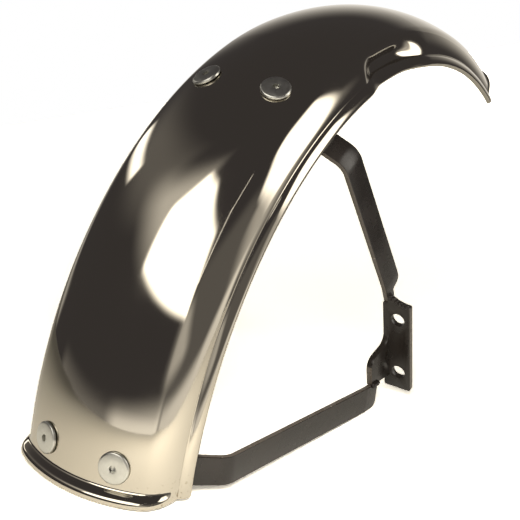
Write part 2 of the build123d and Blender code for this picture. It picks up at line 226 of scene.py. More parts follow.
@dataclass(frozen=True)
class PolishedSteel(Finish):
    """Buffed stainless sheet: mirror reflections, softened by faint smears and tiny pits."""

    name: str = "polished_stainless_steel"
    colour: str = "#c3bcae"
    metallic: float = 1.0
    roughness: float = 0.05
    grains: tuple[Triple, ...] = ((38.0, 5.0, 1.0), (2.4, 3.0, 1.0), (55.0, 1.0, 1.0))
    gloss: Pair = (0.03, 0.09)
    tones: tuple[str, str] = ("#c3bcae", "#c3bcae")
    gloss_span: Pair = (0.35, 0.75)
    relief: Pair = (0.1, 0.0006)
    pit_span: Pair = (0.60, 0.68)
    worn_colour: str = "#8d8069"
    worn_roughness: float = 0.35
    wear_side: Pair = (0.03, 0.055)
    wear_height: float = 0.022

    def dress(self, patterns: Patterns) -> None:
        """Add pitting low on the right, near the rear lip, and a faint waviness.

        Args:
            patterns: The patterns so far: smears, pits and waves.
        """
        tree, looks = patterns.tree, patterns.looks
        _, pits, looks["Height"] = patterns.grains
        sideways, _, upwards = add_node(tree, "SeparateXYZ", {0: patterns.place}).node.outputs
        right, pitted = [
            add_node(tree, "MapRange", {0: value, 1: low, 2: high})
            for value, (low, high) in ((sideways, self.wear_side), (pits, self.pit_span))
        ]
        low_down = add_node(tree, "MapRange", {0: upwards, 2: self.wear_height, 3: right, 4: 0.0})
        wear = add_node(tree, "Math", {0: pitted, 1: low_down}, operation="MULTIPLY")
        inputs = {0: wear, 6: looks["Base Color"], 7: linear(self.worn_colour)}
        looks["Base Color"] = add_node(tree, "Mix", inputs, 2, data_type="RGBA")
        inputs = {0: wear, 1: self.worn_roughness, 2: looks["Roughness"]}
        looks["Roughness"] = add_node(tree, "Math", inputs, operation="MULTIPLY_ADD")


@dataclass(frozen=True)
class DullSteel(Finish):
    """Unpolished underside of the sheet: rolling streaks in the gloss, and cloudy stains."""

    name: str = "mill_finish_stainless_steel"
    colour: str = "#a9a49b"
    metallic: float = 1.0
    roughness: float = 0.32
    grains: tuple[Triple, ...] = ((1.6, 4.0, 20.0), (26.0, 4.0, 1.0))
    gloss: Pair = (0.24, 0.42)
    tones: tuple[str, str] = ("#8c877d", "#b5b0a6")
    tone_span: Pair = (0.35, 0.7)
    tone_grain: int = 1


@dataclass(frozen=True)
class BlackPaint(Finish):
    """Sprayed satin black enamel: orange peel, narrow edges greyed as a painted highlight, and
    small bare chips there.
    """

    name: str = "satin_black_enamel"
    colour: str = "#211d1a"
    metallic: float = 0.0
    roughness: float = 0.3
    grains: tuple[Triple, ...] = ((22.0, 6.0, 1.0), (3.0, 4.0, 1.0), (1.8, 2.0, 1.0))
    gloss: Pair = (0.2, 0.34)
    tones: tuple[str, str] = ("#1c1815", "#27221e")
    tone_span: Pair = (0.3, 0.75)
    relief: Pair = (0.12, 0.0003)
    chip_span: Pair = (0.66, 0.72)
    # The grey on the arrises is a painted highlight, in place of gloss from the lamps.
    painted_edge_highlight_colour: str = "#5d564e"
    chip_colour: str = "#a39b90"

    def dress(self, patterns: Patterns) -> None:
        """Add arrises greyed as a painted highlight, small bare chips on them, and orange peel.

        Args:
            patterns: The patterns so far: clouds, chips and orange peel.
        """
        tree, looks = patterns.tree, patterns.looks
        _, chips, looks["Height"] = patterns.grains
        arris = add_node(tree, "Attribute", output="Fac", attribute_name="arris")
        low, high = self.chip_span
        bare = add_node(tree, "MapRange", {0: chips, 1: low, 2: high})
        chipped = add_node(tree, "Math", {0: bare, 1: arris}, operation="MULTIPLY")
        # Arrises are greyed as a painted highlight, then bare chips are laid over them.
        for share, under in ((arris, self.painted_edge_highlight_colour), (chipped, self.chip_colour)):
            inputs = {0: share, 6: looks["Base Color"], 7: linear(under)}
            looks["Base Color"] = add_node(tree, "Mix", inputs, 2, data_type="RGBA")


@dataclass(frozen=True)
class ZincPlate(Finish):
    """Bright zinc plating on turned steel: mottled satin grey with faint lathe rings."""

    name: str = "zinc_plated_steel"
    colour: str = "#c9c8c0"
    metallic: float = 1.0
    roughness: float = 0.3
    grains: tuple[Triple, ...] = ((3.5, 4.0, 1.0),)
    gloss: Pair = (0.28, 0.36)
    tones: tuple[str, str] = ("#c3c2ba", "#cdccc5")
    relief: Pair = (0.03, 0.0002)
    ring_spacing: float = 0.9

    def dress(self, patterns: Patterns) -> None:
        """Add turning rings, drawn coarser than a lathe leaves them so that they show.

        Args:
            patterns: The patterns so far.
        """
        tree = patterns.tree
        radius = add_node(tree, "Attribute", output="Fac", attribute_name="turning")
        per_mm = math.tau / self.ring_spacing
        turns = add_node(tree, "Math", {0: radius, 1: per_mm}, operation="MULTIPLY")
        patterns.looks["Height"] = add_node(tree, "Math", {0: turns}, operation="SINE")


@dataclass(frozen=True)
class PalePaper(Finish):
    """Matt white studio paper, overexposed to the camera and in shade on the left."""

    name: str = "white_studio_paper"
    colour: str = "#f6f3ea"
    metallic: float = 0.0
    roughness: float = 0.7
    grains: tuple[Triple, ...] = ((400.0, 2.0, 1.0),)
    gloss: Pair = (0.7, 0.7)
    tones: tuple[str, str] = ("#f3f0e6", "#f8f6ee")
    overexposure: float = 2.8
    shade: float = 0.25
    shade_from: float = -0.05
    shade_to: float = -0.65

    def dress(self, patterns: Patterns) -> None:
        """Add the shade that the metal mirrors, and the exposure.

        Args:
            patterns: The patterns so far.
        """
        tree, looks = patterns.tree, patterns.looks
        left = add_node(tree, "SeparateXYZ", {0: patterns.place}, "X")
        inputs = {0: left, 1: self.shade_from, 2: self.shade_to, 3: 1.0, 4: self.shade}
        shade = add_node(tree, "MapRange", inputs, interpolation_type="SMOOTHSTEP")
        direct = add_node(tree, "LightPath", output="Is Camera Ray")
        exposure = add_node(tree, "MapRange", {0: direct, 3: shade, 4: self.overexposure})
        inputs = {"Vector": looks["Base Color"], "Scale": exposure}
        looks["Base Color"] = add_node(tree, "VectorMath", inputs, operation="SCALE")


def new_piece(
    mesh_maker: BMesh,
    name: str,
    finishes: Sequence[Material],
    replaced: Sequence[str] = (),
    crisp_angle: float | None = None,
) -> Object:
    """Turn a finished bmesh, in millimetres about the axle, into a piece of the scene.

    Args:
        mesh_maker: The bmesh, which is freed.
        name: Name of the piece.
        finishes: Materials for its slots.
        replaced: CAD nodes that it stands for.
        crisp_angle: Smallest angle, in degrees, of edges that stay crisp in the shading.

    Returns:
        The new object, at the origin.
    """
    matrix = Matrix.Translation(AXLE) @ Matrix.Scale(METRES, 4)
    bmesh.ops.transform(mesh_maker, matrix=matrix, verts=mesh_maker.verts)
    for face in mesh_maker.faces:
        face.smooth = True
    if crisp_angle is not None:
        mesh_maker.normal_update()
        for edge in (edge for edge in mesh_maker.edges if edge.is_manifold):
            edge.smooth = edge.calc_face_angle() < math.radians(crisp_angle)
    mesh = bpy.data.meshes.new(name)
    mesh_maker.to_mesh(mesh)
    mesh_maker.free()
    piece = bpy.data.objects.new(name, mesh)
    bpy.context.scene.collection.objects.link(piece)
    for finish in finishes:
        mesh.materials.append(finish)
    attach(piece, "root")
    if replaced:
        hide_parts(*replaced)
    LOG.info("%s: %d faces", name, len(mesh.polygons))
    return piece


def spun(
    mesh_maker: BMesh,
    geometry: Sequence[Any],
    centre: Vector,
    axis: Vector,
    degrees: float,
    steps: int,
    merge: bool = False,
) -> list[Any]:
    """Spin geometry about an axis.

    Args:
        mesh_maker: The bmesh.
        geometry: Vertices and edges to spin.
        centre: Point on the axis.
        axis: Direction of the axis.
        degrees: Angle to turn.
        steps: Number of steps.
        merge: True to close a full turn.

    Returns:
        The geometry at the end of the turn.
    """
    done = bmesh.ops.spin(
        mesh_maker,
        geom=list(geometry),
        cent=centre,
        axis=axis,
        dvec=(0.0, 0.0, 0.0),
        angle=math.radians(degrees),
        steps=steps,
        use_merge=merge,
        use_duplicate=False,
    )
    return done["geom_last"]


def only(items: Sequence[Any], *kinds: type) -> list[Any]:
    """Pick the items of some kinds, such as vertices, out of mixed geometry."""
    return [item for item in items if isinstance(item, kinds)]


def rotation(degrees: float, axis: str | Vector) -> Matrix:
    """Rotation by an angle in degrees about an axis."""
    return Matrix.Rotation(math.radians(degrees), 3, axis)


def mirrored_and_merged(mesh_maker: BMesh) -> None:
    """Mirror everything to the left side, merge the seam and face it outwards.

    Args:
        mesh_maker: The bmesh of the right half.
    """
    geometry = mesh_maker.verts[:] + mesh_maker.edges[:] + mesh_maker.faces[:]
    bmesh.ops.mirror(
        mesh_maker, geom=geometry, matrix=Matrix.Identity(4), merge_dist=WELD_DISTANCE, axis="X"
    )
    bmesh.ops.remove_doubles(mesh_maker, verts=mesh_maker.verts, dist=WELD_DISTANCE)
    bmesh.ops.recalc_face_normals(mesh_maker, faces=mesh_maker.faces)


@dataclass
class Blade:
    """The polished arch: domed section, rolled sides, flared ends and fork pinches."""

    crown_radius: float = 313.0
    sheet: float = 1.2
    dome_depth: float = 31.8
    crown_turn: float = 25.0
    dome_radius: float = 109.501
    shoulder_radius: float = 23.767
    shoulder_turn: float = 60.0
    crease_radius: float = 0.8
    flange_turn: float = 60.0
    flange_radius: float = 7.0
    roll_radius: float = 2.8
    curl_turn: float = 105.0
    rear_angle: float = 4.79
    front_angle: float = 124.3
    lip_crease_radius: float = 2.0
    lip_turn: float = 68.0
    lip_flat: float = 4.0
    lip_roll_radius: float = 3.2
    lip_curl_turn: float = 150.0
    lip_zone: float = 9.7
    lip_samples: int = 40
    front_lip: float = 0.5
    lip_fade: Pair = (6.0, 30.0)
    rake: float = 9.0
    rake_length: float = 60.0
    pinch_angles: Pair = (71.0, 91.0)
    pinch_margin: float = 1.0
    pinch_rise: float = 0.24
    pinch_fall: float = 0.42
    pinch_wall_depth: float = 9.0
    pinch_edge_depth: float = 4.0
    pinch_drop: Pair = (11.0, 27.0)
    bead_centre_drop: float = 36.724
    arc_steps: tuple[int, ...] = (10, 13, 4, 7, 10)
    span_steps: tuple[int, ...] = (22, 8, 20, 38, 10, 8, 22)

    def half_section(self, maker: BMesh) -> None:
        """Spin the right half of the section, point by point, at the top of the arch.

        Args:
            maker: The bmesh to fill.
        """
        crease_turn = self.crown_turn + self.shoulder_turn - 90.0 - self.flange_turn
        arcs = (
            (self.dome_radius, self.crown_turn),
            (self.shoulder_radius, self.shoulder_turn),
            (self.crease_radius, crease_turn),
            (self.flange_radius, self.flange_turn),
            (self.roll_radius, self.curl_turn),
        )
        end = bmesh.ops.create_vert(maker, co=(0.0, 0.0, self.crown_radius))["vert"]
        turned = 0.0
        for (radius, degrees), steps in zip(arcs, self.arc_steps):
            slope = math.radians(turned)
            inside = Vector((-math.sin(slope), 0.0, -math.cos(slope)))
            centre = only(end, BMVert)[0].co + inside * math.copysign(radius, degrees)
            end = spun(maker, end, centre, FORWARD, degrees, steps)
            turned += degrees

    def spans(self) -> list[tuple[float, int]]:
        """Divide the arch into spans, from the rear end on.

        Returns:
            Angle of each span and the steps in it.
        """
        lip = math.degrees(self.lip_zone / self.crown_radius)
        end = math.degrees(self.rake_length / self.crown_radius) - lip
        pinch_start = self.pinch_angles[0] - self.pinch_margin
        pinch = self.pinch_angles[1] + self.pinch_margin - pinch_start
        rear = pinch_start - self.rear_angle - lip - end
        front = self.front_angle - pinch_start - pinch - lip - end
        return list(zip((lip, end, rear, pinch, front, end, lip), self.span_steps))

    def lip_point(self, share: float) -> Pair:
        """Run along the arch and rise above it over the lip.

        Args:
            share: Share of the way over the lip, from where it starts to its edge.

        Returns:
            Run and rise, in millimetres.
        """
        lip_turn = math.radians(self.lip_turn)
        crease = self.lip_crease_radius * lip_turn
        roll = self.lip_roll_radius * math.radians(self.lip_curl_turn)
        travel = share * (crease + self.lip_flat + roll)
        turn = min(travel / self.lip_crease_radius, lip_turn)
        run = self.lip_crease_radius * math.sin(turn)
        rise = self.lip_crease_radius * (1.0 - math.cos(turn))
        flat = min(max(travel - crease, 0.0), self.lip_flat)
        run += flat * math.cos(lip_turn)
        rise += flat * math.sin(lip_turn)
        turn = lip_turn - max(travel - crease - self.lip_flat, 0.0) / self.lip_roll_radius
        run += self.lip_roll_radius * (math.sin(lip_turn) - math.sin(turn))
        rise += self.lip_roll_radius * (math.cos(turn) - math.cos(lip_turn))
        return run, rise

    def lip_shift(self, distance: float) -> Pair:
        """Move along the arch and rise of a point at a distance from an end of the arch.

        Args:
            distance: Distance from the end along the crown, before the lip is formed.

        Returns:
            New distance from the end, and rise.
        """
        if distance >= self.lip_zone:
            return distance, 0.0
        samples = self.lip_samples
        reach = max(self.lip_point(step / samples)[0] for step in range(samples + 1))
        run, rise = self.lip_point(1.0 - distance / self.lip_zone)
        return max(self.lip_zone, reach) - run, rise

    def pinch_depth(self, drop: float, angle: float) -> float:
        """How far the fork pinch, steep at its rear end, pushes a side inwards.

        Args:
            drop: Drop below the crown.
            angle: Blade angle.

        Returns:
            Depth in millimetres.
        """
        first, last = self.pinch_angles
        share = (angle - first) / (last - first)
        if not 0.0 < share < 1.0:
            return 0.0
        steep = smooth_step(share / self.pinch_rise)
        gentle = smooth_step((1.0 - share) / self.pinch_fall)
        low, full = self.pinch_drop
        start = smooth_step((drop - low) / (full - low))
        fade = smooth_step((drop - full) / (self.bead_centre_drop - full))
        depth = self.pinch_wall_depth + (self.pinch_edge_depth - self.pinch_wall_depth) * fade
        return start * depth * steep * gentle

    def formed(self, place: Vector, normal: Vector) -> Vector:
        """Move a point of the plain arch to the pressed form, with lips, rake and pinches.

        Args:
            place: Point of the plain arch.
            normal: Outward normal there.

        Returns:
            The point on the formed blade.
        """
        angle = math.degrees(math.atan2(place.z, -place.y))
        drop = self.crown_radius - math.hypot(place.y, place.z)
        x = place.x
        per_degree = math.radians(1.0) * self.crown_radius
        rear = (angle - self.rear_angle) * per_degree
        front = (self.front_angle - angle) * per_degree
        rear_new, rear_rise = self.lip_shift(rear)
        front_new, front_rise = self.lip_shift(front)
        low, high = self.lip_fade
        held = 1.0 - smooth_step((drop - low) / (high - low))
        shift = (rear_new - rear) - (front_new - front)
        angle += shift * held / per_degree
        rise = (rear_rise + self.front_lip * front_rise) * held
        lean = smooth_step(1.0 - rear_new / self.rake_length)
        lean -= smooth_step(1.0 - front_new / self.rake_length)
        rake = math.radians(self.rake * lean)
        x -= math.copysign(self.pinch_depth(drop, angle), x)
        x += normal.x * rise
        drop -= normal.dot(outward(angle)) * rise
        inwards = along(angle) * math.sin(rake) - outward(angle) * math.cos(rake)
        return outward(angle) * self.crown_radius + ACROSS * x + inwards * drop

    def build(self, outside: Material, inside: Material) -> Object:
        """Make the blade.

        Args:
            outside: Material of the polished outside.
            inside: Material of the underside.

        Returns:
            The blade.
        """
        maker = bmesh.new()
        self.half_section(maker)
        mirrored_and_merged(maker)
        turn = rotation(90.0 - self.rear_angle, ACROSS)
        bmesh.ops.rotate(maker, cent=Vector(), matrix=turn, verts=maker.verts)
        last: list[Any] = maker.verts[:] + maker.edges[:]
        for degrees, steps in self.spans():
            last = spun(maker, last, Vector(), ACROSS, -degrees, steps)
        bmesh.ops.remove_doubles(maker, verts=maker.verts, dist=WELD_DISTANCE)
        bmesh.ops.recalc_face_normals(maker, faces=maker.faces)
        maker.normal_update()
        middle = min(maker.faces, key=lambda face: abs(face.calc_center_median().x))
        if middle.normal.dot(middle.calc_center_median()) < 0.0:
            bmesh.ops.reverse_faces(maker, faces=maker.faces)
            maker.normal_update()
        moved = [(vert, self.formed(vert.co, vert.normal)) for vert in maker.verts]
        for vert, place in moved:
            vert.co = place
        finishes = (outside, inside)
        blade = new_piece(maker, "blade_shell", finishes, ("mudguard_blade",))
        wall = blade.modifiers.new("sheet", "SOLIDIFY")
        wall.thickness = self.sheet * METRES
        wall.offset = -1.0
        wall.material_offset = 1
        skin = blade.modifiers.new("skin", "SUBSURF")
        skin.levels = 1
        skin.render_levels = 1
        return blade


@dataclass
class BarPath:
    """A flat bar drawn along its path in the plane of its hoop, which stands upright."""

    maker: BMesh
    width: float
    thickness: float
    arris: float
    place: Vector
    heading: Vector = field(default_factory=ACROSS.copy)
    ring: list[Any] = field(default_factory=list)
    step: float = 6.0
    least_steps: int = 4
    corner_steps: int = 6

    def start(self) -> None:
        """Make the rounded outline of the bar at the start of its path."""
        made = bmesh.ops.create_grid(self.maker, x_segments=1, y_segments=1, size=0.5)
        corners = made["verts"]
        bmesh.ops.scale(self.maker, vec=(self.thickness, self.width, 1.0), verts=corners)
        bmesh.ops.bevel(
            self.maker,
            geom=corners,
            offset=self.arris,
            offset_type="OFFSET",
            segments=3,
            profile=0.5,
            affect="VERTICES",
            material=-1,
        )
        turn = rotation(90.0, "Y")
        bmesh.ops.rotate(self.maker, cent=Vector(), matrix=turn, verts=self.maker.verts)
        bmesh.ops.translate(self.maker, vec=self.place, verts=self.maker.verts)
        bmesh.ops.delete(self.maker, geom=self.maker.faces[:], context="FACES_ONLY")
        self.ring = self.maker.verts[:] + self.maker.edges[:]

    def bend(self, radius: float, degrees: float) -> None:
        """Bend the bar; a positive angle turns it towards the axle.

        Args:
            radius: Radius of the bar's middle line.
            degrees: Angle of the bend.
        """
        inside = rotation(math.copysign(90.0, degrees), FORWARD) @ self.heading
        centre = self.place + inside * radius
        steps = max(self.least_steps, math.ceil(abs(degrees) / self.step))
        self.ring = spun(self.maker, self.ring, centre, FORWARD, degrees, steps)
        turn = rotation(degrees, FORWARD)
        self.place = centre + turn @ (self.place - centre)
        self.heading = turn @ self.heading

    def run(self, length: float) -> None:
        """Draw the bar straight on.

        Args:
            length: Length of the straight run.
        """
        edges = only(self.ring, BMEdge)
        grown = bmesh.ops.extrude_edge_only(self.maker, edges=edges)["geom"]
        self.ring = only(grown, BMVert, BMEdge)
        verts = only(grown, BMVert)
        bmesh.ops.translate(self.maker, vec=self.heading * length, verts=verts)
        self.place = self.place + self.heading * length

    def trim(self, side: float, amount: float) -> None:
        """Move one narrow edge of the bar's end inwards.

        Args:
            side: Positive for the edge at +Y.
            amount: Distance that the edge moves inwards.
        """
        verts = [vert for vert in only(self.ring, BMVert) if vert.co.y * side > 0.0]
        bmesh.ops.translate(self.maker, vec=(0.0, -side * amount, 0.0), verts=verts)

    def round_corner(self, side: float, radius: float, hollow: bool = False) -> None:
        """Draw the bar on through a rounded corner of one narrow edge.

        Args:
            side: Positive for the edge at +Y.
            radius: Radius of the corner.
            hollow: True for an inside corner.
        """
        turns = [step * math.pi / 2.0 / self.corner_steps for step in range(self.corner_steps + 1)]
        for before, after in zip(turns, turns[1:]):
            steps = [math.sin(after) - math.sin(before), math.cos(before) - math.cos(after)]
            onwards, inwards = reversed(steps) if hollow else steps
            self.run(radius * onwards)
            self.trim(side, radius * inwards)


@dataclass
class StrapHoop:
    """A black flat-bar hoop under the blade, with a leg to each fork plate."""

    name: str
    node: str
    bolt_angle: float
    exit_angle: float
    leg_x: float
    leg_end_drop: float
    straight_length: float
    fold: float = 0.0
    width: float = 20.0
    thickness: float = 4.0
    arris: float = 0.7
    seat_depth: float = 3.45
    wrap_radius: float = 5.0818
    bend_x: float = 76.0
    bend_radius: float = 14.0
    end_bend_radius: float = 30.0
    fold_drop: float = 41.806
    # Share of the painted edge highlight that the narrow edges take; it also lets chips show
    # there.
    edge_highlight_and_chips: float = 0.8
    edge_facing: float = 0.9
    blade: Blade = field(default_factory=Blade)

    def hoop(self, maker: BMesh) -> BarPath:
        """Draw the right half of the hoop, down to the last straight run.

        Args:
            maker: The bmesh to fill.

        Returns:
            The path, at the start of its last straight run.
        """
        blade = self.blade
        top = Vector((0.0, 0.0, blade.crown_radius - self.seat_depth))
        path = BarPath(maker, self.width, self.thickness, self.arris, top)
        path.start()
        path.bend(blade.dome_radius - self.seat_depth, blade.crown_turn)
        path.bend(blade.shoulder_radius - self.seat_depth, 90.0 - blade.crown_turn)
        path.run(blade.bead_centre_drop - blade.dome_depth)
        path.bend(self.wrap_radius, self.exit_angle - 90.0)
        bend_corner = path.place + path.heading * ((self.bend_x - path.place.x) / path.heading.x)
        last_z = blade.crown_radius - self.leg_end_drop + self.straight_length
        corners = (bend_corner, Vector((self.leg_x, 0.0, last_z)), Vector((self.leg_x, 0.0, 0.0)))
        radii = (self.bend_radius, self.end_bend_radius)
        for corner, following, radius in zip(corners, corners[1:], radii):
            ahead = (following - corner).normalized()
            turn = math.degrees(path.heading.angle(ahead))
            turn = math.copysign(turn, path.heading.z * ahead.x - path.heading.x * ahead.z)
            tangent = radius * math.tan(math.radians(abs(turn)) / 2.0)
            path.run((corner - path.place).length - tangent)
            path.bend(radius, turn)
        return path

    def leg_end(self, path: BarPath) -> None:
        """Draw the end of the leg.

        Args:
            path: The path, at the start of its last straight run.
        """
        raise NotImplementedError

    def build(self, paint: Material) -> Object:
        """Make the strap.

        Args:
            paint: Its material.

        Returns:
            The strap.
        """
        maker = bmesh.new()
        path = self.hoop(maker)
        self.leg_end(path)
        # The narrow edges get the painted highlight weight, which also places chips there.
        highlight_and_chip_layer = maker.faces.layers.float.new("arris")
        maker.normal_update()
        for face in maker.faces:
            face[highlight_and_chip_layer] = self.edge_highlight_and_chips if abs(face.normal.y) > self.edge_facing else 0.0
        hinge = Vector((0.0, 0.0, self.blade.crown_radius - self.fold_drop))
        folded = [vert for vert in maker.verts if vert.co.z < hinge.z]
        bmesh.ops.rotate(maker, cent=hinge, matrix=rotation(self.fold, "X"), verts=folded)
        turn = rotation(90.0 - self.bolt_angle, "X")
        bmesh.ops.rotate(maker, cent=Vector(), matrix=turn, verts=maker.verts)
        self.cut_end(maker)
        mirrored_and_merged(maker)
        return new_piece(maker, self.name, (paint,), (self.node,))

    def cut_end(self, maker: BMesh) -> None:
        """Close the end of the leg.

        Args:
            maker: The bmesh of the right half.
        """
        rim = [
            edge for edge in maker.edges
            if edge.is_boundary and min(vert.co.x for vert in edge.verts) > WELD_DISTANCE
        ]
        bmesh.ops.edgeloop_fill(maker, edges=rim)


@dataclass
class UpperStrap(StrapHoop):
    """Upper hoop: its legs narrow to necks that stand on the fork plates."""

    name: str = "upper_hoop"
    node: str = "upper_strap"
    bolt_angle: float = UPPER_BOLTS
    exit_angle: float = 32.0
    leg_x: float = 90.2
    leg_end_drop: float = 177.6963
    straight_length: float = 12.0
    neck_width: float = 9.0
    neck_length: float = 15.0
    neck_corner: float = 5.0
    plate_top: Triple = (88.2, -78.6233, 110.939)
    plate_lean: float = PLATE_LEAN
    least_run: float = 0.01

    def leg_end(self, path: BarPath) -> None:
        """Narrow the leg to its neck through two rounded corners.

        Args:
            path: The path, at the start of its last straight run.
        """
        corner = self.neck_corner
        shoulder = path.place.z - (self.blade.crown_radius - self.leg_end_drop + self.neck_length)
        path.run(max(shoulder - corner, self.least_run))
        path.round_corner(1.0, corner)
        path.run(self.least_run)
        path.trim(1.0, self.width - self.neck_width - 2.0 * corner)
        path.round_corner(1.0, corner, hollow=True)
        path.run(2.0 * self.neck_length)

    def cut_end(self, maker: BMesh) -> None:
        """Cut the neck off along the fork plate's top and close it.

        Args:
            maker: The bmesh of the right half.
        """
        lean = math.radians(self.plate_lean)
        bmesh.ops.bisect_plane(
            maker,
            geom=maker.verts[:] + maker.edges[:] + maker.faces[:],
            dist=WELD_DISTANCE,
            plane_co=Vector(self.plate_top),
            plane_no=Vector((0.0, math.sin(lean), -math.cos(lean))),
            clear_outer=True,
        )
        super().cut_end(maker)


@dataclass
class LowerStrap(StrapHoop):
    """Lower hoop: its legs run forward under the flanges of the fork plates."""

    name: str = "lower_hoop"
    node: str = "lower_strap"
    bolt_angle: float = LOWER_BOLTS
    exit_angle: float = 43.0
    leg_x: float = 90.7
    leg_end_drop: float = 231.4045
    straight_length: float = 16.0
    fold: float = 6.9
    end_corner: float = 5.0

    def leg_end(self, path: BarPath) -> None:
        """Round the lower corner of the leg's end.

        Args:
            path: The path, at the start of its last straight run.
        """
        length = path.place.z - (self.blade.crown_radius - self.leg_end_drop)
        path.run(length - self.end_corner)
        path.round_corner(-1.0, self.end_corner)


def cad_copy(node: str) -> BMesh:
    """Copy the mesh of a CAD node, with its seams merged.

    Args:
        node: Name of the node.

    Returns:
        The copy, in millimetres about the axle.
    """
    maker = bmesh.new()
    maker.from_mesh(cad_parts[node].data)
    home = Matrix.Scale(1.0 / METRES, 4) @ Matrix.Translation(-AXLE)
    bmesh.ops.transform(maker, matrix=home, verts=maker.verts)
    bmesh.ops.remove_doubles(maker, verts=maker.verts, dist=CAD_WELD_DISTANCE)
    return maker


@dataclass
class ForkPlates:
    """The drilled angle plates, with rounded arrises greyed as a painted highlight and chipped."""

    arris: float = 0.5
    flat_angle: float = 4.0
    sharp_angle: float = 30.0
    lean: float = PLATE_LEAN
    edge_x: float = 108.0
    flange_y: float = -88.0
    facing: float = 0.95
    # Weights of the painted edge highlight, which also places chips, on rounded arrises and on
    # plain edges.
    arris_highlight_and_chips: float = 0.35
    edge_highlight_and_chips: float = 1.0

    def build(self, side: Side, paint: Material) -> Object:
        """Make one plate from its solid, with its edges rounded.

        Args:
            side: Which plate.
            paint: Its material.

        Returns:
            The plate.
        """
        node = f"{side.name.lower()}_fork_plate"
        maker = cad_copy(node)
        flat = math.radians(self.flat_angle)
        bmesh.ops.dissolve_limit(maker, angle_limit=flat, verts=maker.verts, edges=maker.edges)
        highlight_and_chip_layer = maker.faces.layers.float.new("arris")
        sharp = [
            edge for edge in maker.edges
            if edge.is_manifold and edge.calc_face_angle() > math.radians(self.sharp_angle)
        ]
        rounded = bmesh.ops.bevel(
            maker,
            geom=sharp,
            offset=self.arris,
            offset_type="OFFSET",
            segments=2,
            profile=0.5,
            affect="EDGES",
            clamp_overlap=True,
            material=-1,
        )
        # Rounded arrises, and then the side and flange edges, get the painted highlight weight.
        for face in rounded["faces"]:
            face[highlight_and_chip_layer] = self.arris_highlight_and_chips
        lean = math.radians(self.lean)
        rear = Vector((0.0, -math.cos(lean), -math.sin(lean)))
        maker.normal_update()
        for face in maker.faces:
            middle = face.calc_center_median()
            side_edge = abs(face.normal.x) > self.facing and abs(middle.x) > self.edge_x
            flange_end = face.normal.dot(rear) > self.facing and middle.y < self.flange_y
            if side_edge or flange_end:
                face[highlight_and_chip_layer] = self.edge_highlight_and_chips
        name = f"{node}_dressed"
        return new_piece(maker, name, (paint,), (node,), self.sharp_angle)


@dataclass
class WeldBeads:
    """Lumpy hand-laid weld beads between the straps and the fork plates."""

    plate_lean: float = PLATE_LEAN
    crisp_angle: float = 40.0
    swell: float = 0.16
    swell_turn: float = 2.4
    wedge_lump: Triple = (2.0, 2.7, 1.9)
    wedge: tuple[Triple, ...] = (
        (93.4, -78.1, 115.6),
        (95.9, -77.5, 114.1),
        (98.6, -77.0, 112.8),
        (101.5, -76.7, 111.8),
        (104.4, -76.5, 111.2),
        (106.9, -76.4, 110.9),
    )
    bead_lump: Triple = (2.3, 1.7, 1.9)
    bead: tuple[Triple, ...] = (
        (92.9, -86.6, 45.8),
        (92.8, -84.6, 45.6),
        (93.0, -82.5, 45.8),
        (92.8, -80.6, 45.5),
        (92.9, -78.9, 45.6),
    )

    def build(self, paint: Material) -> Object:
        """Make the beads of both sides as one piece.

        Args:
            paint: Their material.

        Returns:
            The beads.
        """
        maker = cad_copy("bracket_welds")
        lean = Matrix.Rotation(math.radians(self.plate_lean), 4, "X")
        lumps = [(place, self.wedge_lump) for place in self.wedge]
        lumps += [(place, self.bead_lump) for place in self.bead]
        for side in Side:
            for number, ((x, y, z), (width, depth, height)) in enumerate(lumps):
                swell = 1.0 + self.swell * math.sin(self.swell_turn * number)
                size = Matrix.Diagonal((width * swell, depth, height * swell, 1.0))
                spot = Matrix.Translation((x * side.value, y, z))
                bmesh.ops.create_icosphere(
                    maker, subdivisions=3, radius=1.0, matrix=spot @ lean @ size
                )
        nodes = ("bracket_welds",)
        return new_piece(maker, "weld_beads", (paint,), nodes, self.crisp_angle)


def ring_on(
    part: BMesh, rim: Sequence[BMEdge], place: Callable[[float], Pair]
) -> list[BMEdge]:
    """Extrude a rim about the Z axis to its next ring.

    Args:
        part: The bmesh.
        rim: Edges of the rim.
        place: Gives reach and height of the new ring at an angle in radians.

    Returns:
        Edges of the new ring.
    """
    grown = bmesh.ops.extrude_edge_only(part, edges=list(rim))["geom"]
    for vert in only(grown, BMVert):
        turn = math.atan2(vert.co.y, vert.co.x)
        reach, height = place(turn)
        vert.co = (reach * math.cos(turn), reach * math.sin(turn), height)
    return only(grown, BMEdge)


def hexagon_reach(turn: float, width: float) -> float:
    """Reach of a hexagon's outline at an angle, for its width across flats."""
    sector = math.radians(60.0)
    return width / 2.0 / math.cos((turn + sector / 2.0) % sector - sector / 2.0)


def append(maker: BMesh, part: BMesh) -> None:
    """Add a finished bmesh to another and free it.

    Args:
        maker: The bmesh that grows.
        part: The bmesh to add.
    """
    mesh = bpy.data.meshes.new("part")
    part.to_mesh(mesh)
    part.free()
    maker.from_mesh(mesh)
    bpy.data.meshes.remove(mesh)


@dataclass(frozen=True)
class BoltSeat:
    """Place of one fastener on the blade, with its axis pointing out."""

    angle: float
    side: Side
    half_spacing: float = 28.0

    def matrix(self, blade: Blade) -> Matrix:
        """Matrix from the fastener's own frame to the frame about the axle.

        Args:
            blade: The blade that it sits on.

        Returns:
            The matrix.
        """
        turn = math.asin(self.half_spacing / blade.dome_radius)
        drop = blade.dome_radius * (1.0 - math.cos(turn))
        sideways = self.side.value
        place = outward(self.angle) * (blade.crown_radius - drop)
        place += ACROSS * (self.half_spacing * sideways)
        axis = ACROSS * (math.sin(turn) * sideways) + outward(self.angle) * math.cos(turn)
        across_seat = along(self.angle)
        third = axis.cross(across_seat)
        matrix = Matrix((across_seat, third, axis)).transposed().to_4x4()
        matrix.translation = place
        return matrix


